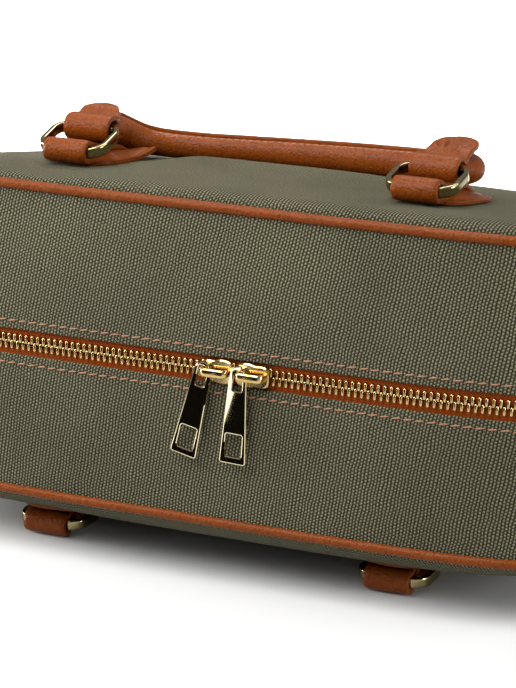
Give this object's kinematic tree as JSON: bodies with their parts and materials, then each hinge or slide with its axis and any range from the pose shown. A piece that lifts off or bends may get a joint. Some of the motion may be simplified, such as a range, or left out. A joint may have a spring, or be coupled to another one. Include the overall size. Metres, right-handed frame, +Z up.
{
  "type": "shoulder bag",
  "caption": "Canvas bag with leather piping, a long two-slider metal zip and rolled leather handles on ring tabs, lying on its back panel.",
  "frame": {"origin": "On the floor, at the middle of the bag's length, on the flat that the belly of the back panel rests on.", "axes": "+X along the bag, from the left tab to the right tab; +Y from the zip towards the base; +Z up from the floor, out of the front panel."},
  "size_m": [0.3808, 0.2441, 0.1799],
  "materials": {
    "canvas": "matt plain-weave canvas",
    "leather": "satin pebbled grain",
    "zip_tape": "matt twill",
    "gold_metal": "polished",
    "antique_brass": "satin antique"
  },
  "bodies": {
    "bag": {"front_panel": "canvas", "back_panel": "canvas", "top_gusset_front": "canvas", "top_gusset_back": "canvas", "base_gusset": "canvas", "front_piping": "leather", "back_piping": "leather", "zip_tape_front": "zip_tape", "zip_tape_back": "zip_tape", "zip_teeth_front": "gold_metal", "zip_teeth_back": "gold_metal", "zip_slider_left": "gold_metal", "zip_slider_right": "gold_metal", "front_tab_left": "leather", "front_tab_right": "leather", "back_tab_left": "leather", "back_tab_right": "leather"},
    "front_handle": {"front_handle": "leather", "front_ring_left": "antique_brass", "front_ring_right": "antique_brass"},
    "back_handle": {"back_handle": "leather", "back_ring_left": "antique_brass", "back_ring_right": "antique_brass"},
    "left_pull": {"zip_pull_left": "gold_metal"},
    "right_pull": {"zip_pull_right": "gold_metal"}
  },
  "joints": [
    {"name": "front_handle_swing", "type": "hinge", "parent": "bag", "child": "front_handle", "pos_m": [0, -0.1178, 0.1689], "axis": [1, 0, 0], "range_deg": [0, 160]},
    {"name": "back_handle_swing", "type": "hinge", "parent": "bag", "child": "back_handle", "pos_m": [0, -0.1425, 0.0057], "axis": [-1, 0, 0], "range_deg": [0, 180]},
    {"name": "left_pull_swing", "type": "hinge", "parent": "bag", "child": "left_pull", "pos_m": [0.0087, -0.16492, 0.09497], "axis": [0, -0.9961, 0.0884], "range_deg": [-60, 8]},
    {"name": "right_pull_swing", "type": "hinge", "parent": "bag", "child": "right_pull", "pos_m": [0.0249, -0.16492, 0.09497], "axis": [0, -0.9961, 0.0884], "range_deg": [-3, 45]}
  ]
}
